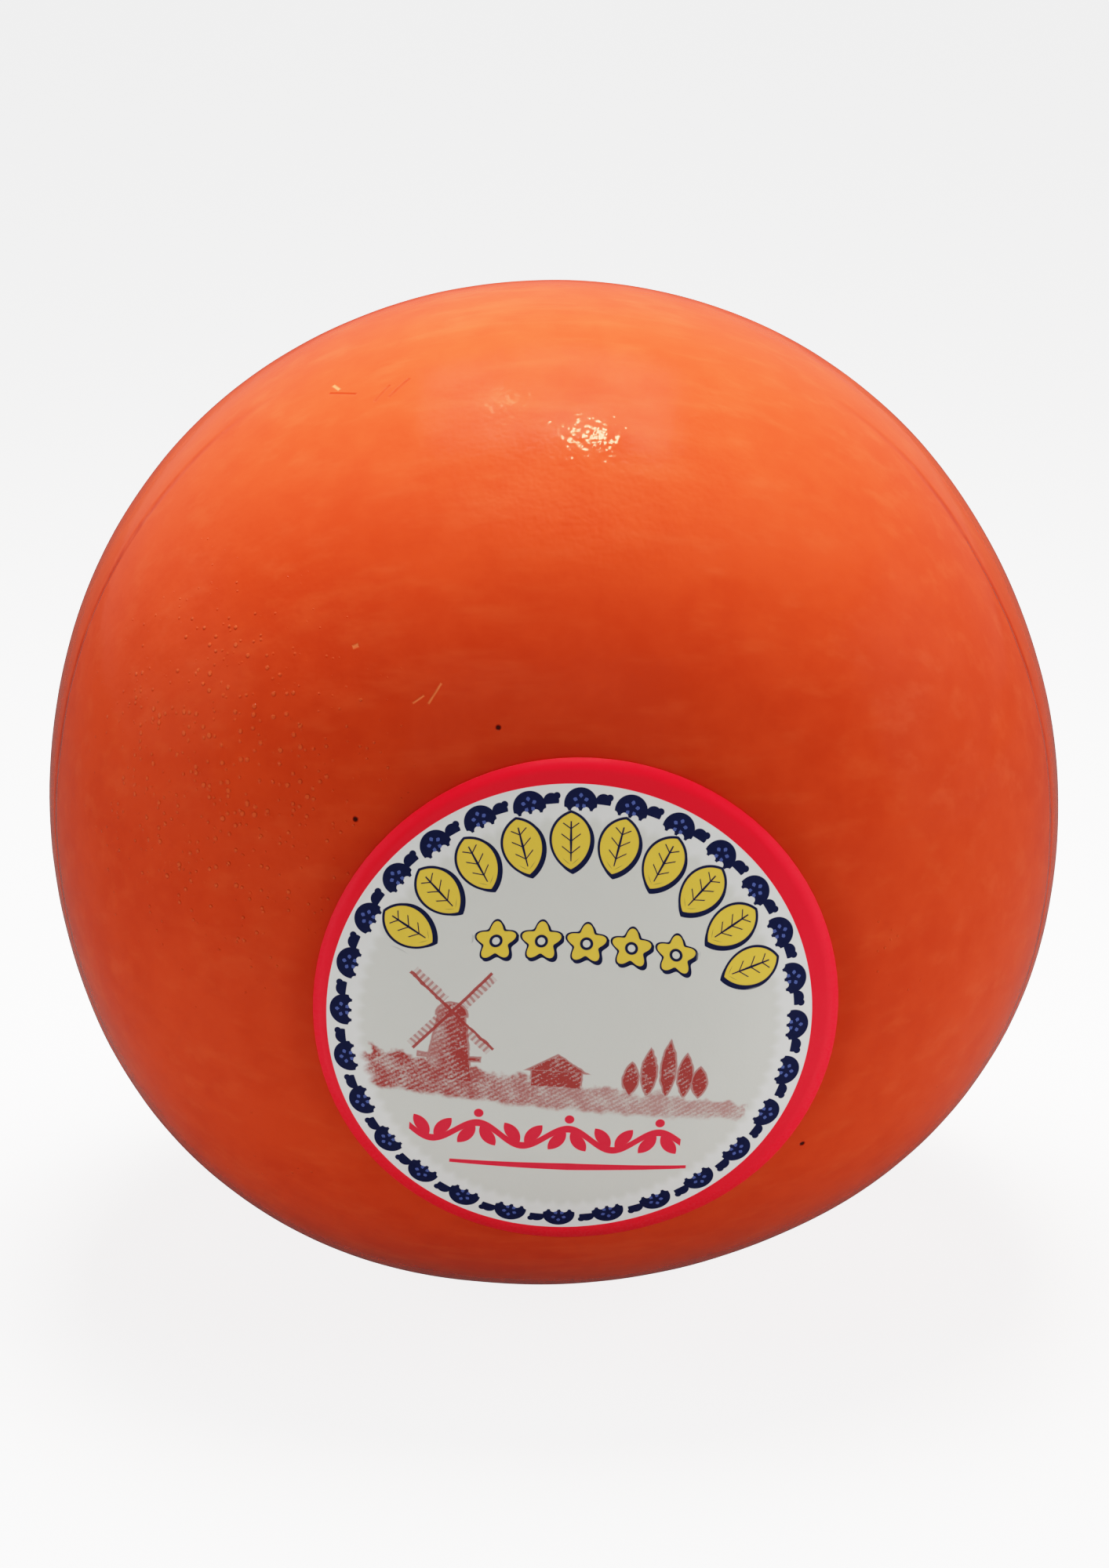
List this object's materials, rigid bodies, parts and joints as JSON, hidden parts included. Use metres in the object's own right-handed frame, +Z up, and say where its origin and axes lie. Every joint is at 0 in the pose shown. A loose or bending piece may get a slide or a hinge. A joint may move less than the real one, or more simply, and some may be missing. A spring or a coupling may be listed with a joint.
{
  "type": "ball of cheese",
  "caption": "Whole ball of pressed cheese in a smooth orange coat, with flattened poles, a round paper label on its front and a small flat spot to lie on.",
  "frame": {"origin": "centre of the small flat spot that the ball lies on", "axes": "+Z up, -Y out of the flattened pole that carries the label, +X to the right seen from the label's side"},
  "size_m": [0.1887, 0.1641, 0.1849],
  "materials": {
    "orange_coat": "thin satin coat of orange cheese wax over the rind",
    "label_paper": "printed paper, off-white field with a red border"
  },
  "bodies": {
    "root": {"cheese_ball": "orange_coat", "paper_label": "label_paper"}
  },
  "joints": []
}
